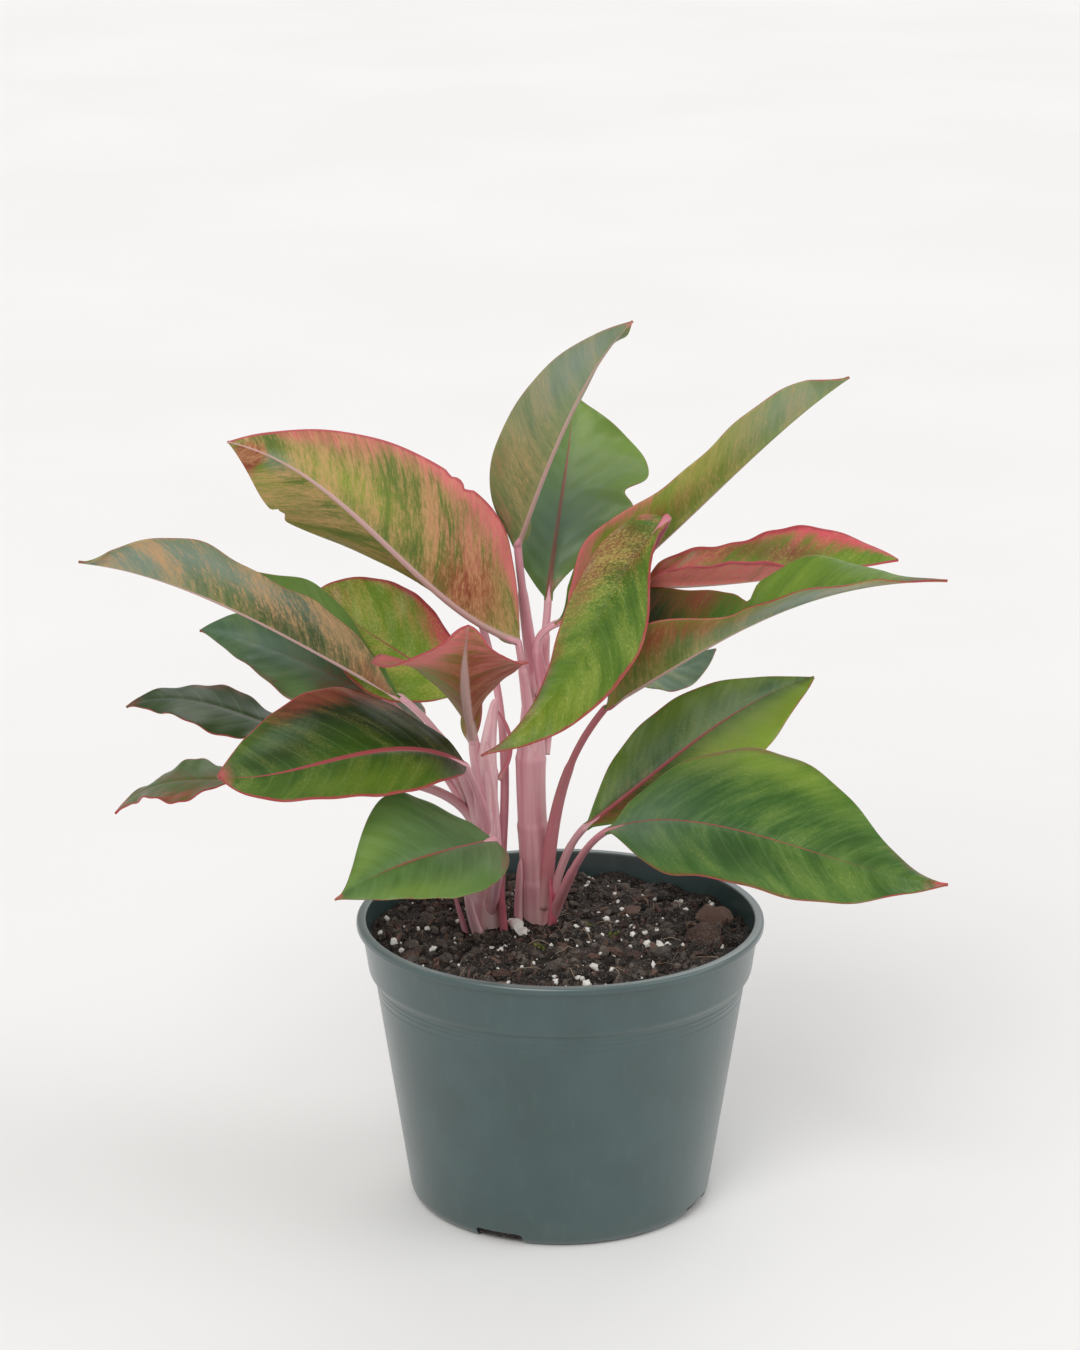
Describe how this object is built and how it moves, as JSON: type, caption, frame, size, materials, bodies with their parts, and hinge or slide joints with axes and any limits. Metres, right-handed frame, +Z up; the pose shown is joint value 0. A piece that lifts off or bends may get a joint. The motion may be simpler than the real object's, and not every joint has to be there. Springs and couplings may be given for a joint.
{
  "type": "potted aglaonema",
  "caption": "Bushy houseplant with pointed pink-edged green leaves on pink stalks, growing from dark potting mix in a tapered plastic nursery pot.",
  "frame": {"origin": "centre of the pot's flat underside", "axes": "+Z up the pot's axis, +Y away from the viewer of the picture, +X to the viewer's right"},
  "size_m": [0.3373, 0.2028, 0.3704],
  "materials": {
    "pot_plastic": "satin",
    "potting_mix": "rough and damp",
    "stalk": "smooth, softly glossy",
    "leaf": "waxy satin"
  },
  "bodies": {
    "root": {"pot": "pot_plastic", "soil": "potting_mix", "shoot_left": "stalk", "shoot_right": "stalk", "blade_01": "leaf", "blade_02": "leaf", "blade_03": "leaf", "blade_04": "leaf", "blade_05": "leaf", "blade_06": "leaf", "blade_07": "leaf", "blade_08": "leaf", "blade_09": "leaf", "blade_10": "leaf", "blade_11": "leaf", "blade_12": "leaf", "blade_13": "leaf", "blade_14": "leaf", "blade_15": "leaf", "blade_16": "leaf", "blade_17": "leaf", "blade_18": "leaf", "blade_19": "leaf", "blade_20": "leaf"}
  },
  "joints": []
}
